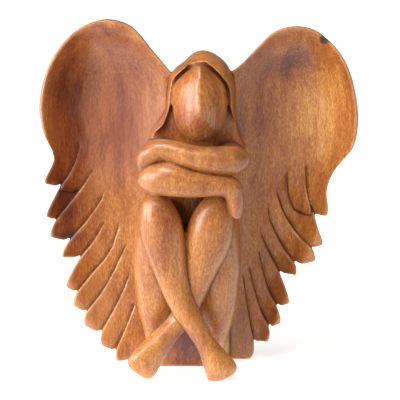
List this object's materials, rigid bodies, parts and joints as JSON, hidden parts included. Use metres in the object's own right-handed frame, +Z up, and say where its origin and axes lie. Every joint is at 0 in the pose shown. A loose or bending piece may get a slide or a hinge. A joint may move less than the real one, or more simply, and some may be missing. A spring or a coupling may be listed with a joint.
{
  "type": "carved wooden figurine",
  "caption": "Carved wooden angel, seated with folded arms and crossed ankles before scooped, feathered wings, on a flat-bottomed block.",
  "frame": {"origin": "on the ground under the figure's midline, on the underside of the block it sits on", "axes": "+Z up, +X to the right as the viewer faces the figure, +Y from the figure's front towards its back"},
  "size_m": [0.2634, 0.1062, 0.2913],
  "materials": {
    "wood": "hand-rubbed satin wax over warm amber-brown hardwood with fine pores"
  },
  "bodies": {
    "root": {"base_block": "wood", "torso": "wood", "head": "wood", "hair": "wood", "left_upper_arm": "wood", "left_forearm": "wood", "left_hand": "wood", "right_upper_arm": "wood", "right_forearm": "wood", "right_hand": "wood", "left_thigh": "wood", "left_shin": "wood", "left_foot": "wood", "right_thigh": "wood", "right_shin": "wood", "right_foot": "wood", "left_wing": "wood", "right_wing": "wood", "left_feather_1": "wood", "left_feather_2": "wood", "left_feather_3": "wood", "left_feather_4": "wood", "left_feather_5": "wood", "left_feather_6": "wood", "left_feather_7": "wood", "left_feather_8": "wood", "left_feather_9": "wood", "left_feather_10": "wood", "right_feather_1": "wood", "right_feather_2": "wood", "right_feather_3": "wood", "right_feather_4": "wood", "right_feather_5": "wood", "right_feather_6": "wood", "right_feather_7": "wood", "right_feather_8": "wood", "right_feather_9": "wood"}
  },
  "joints": []
}
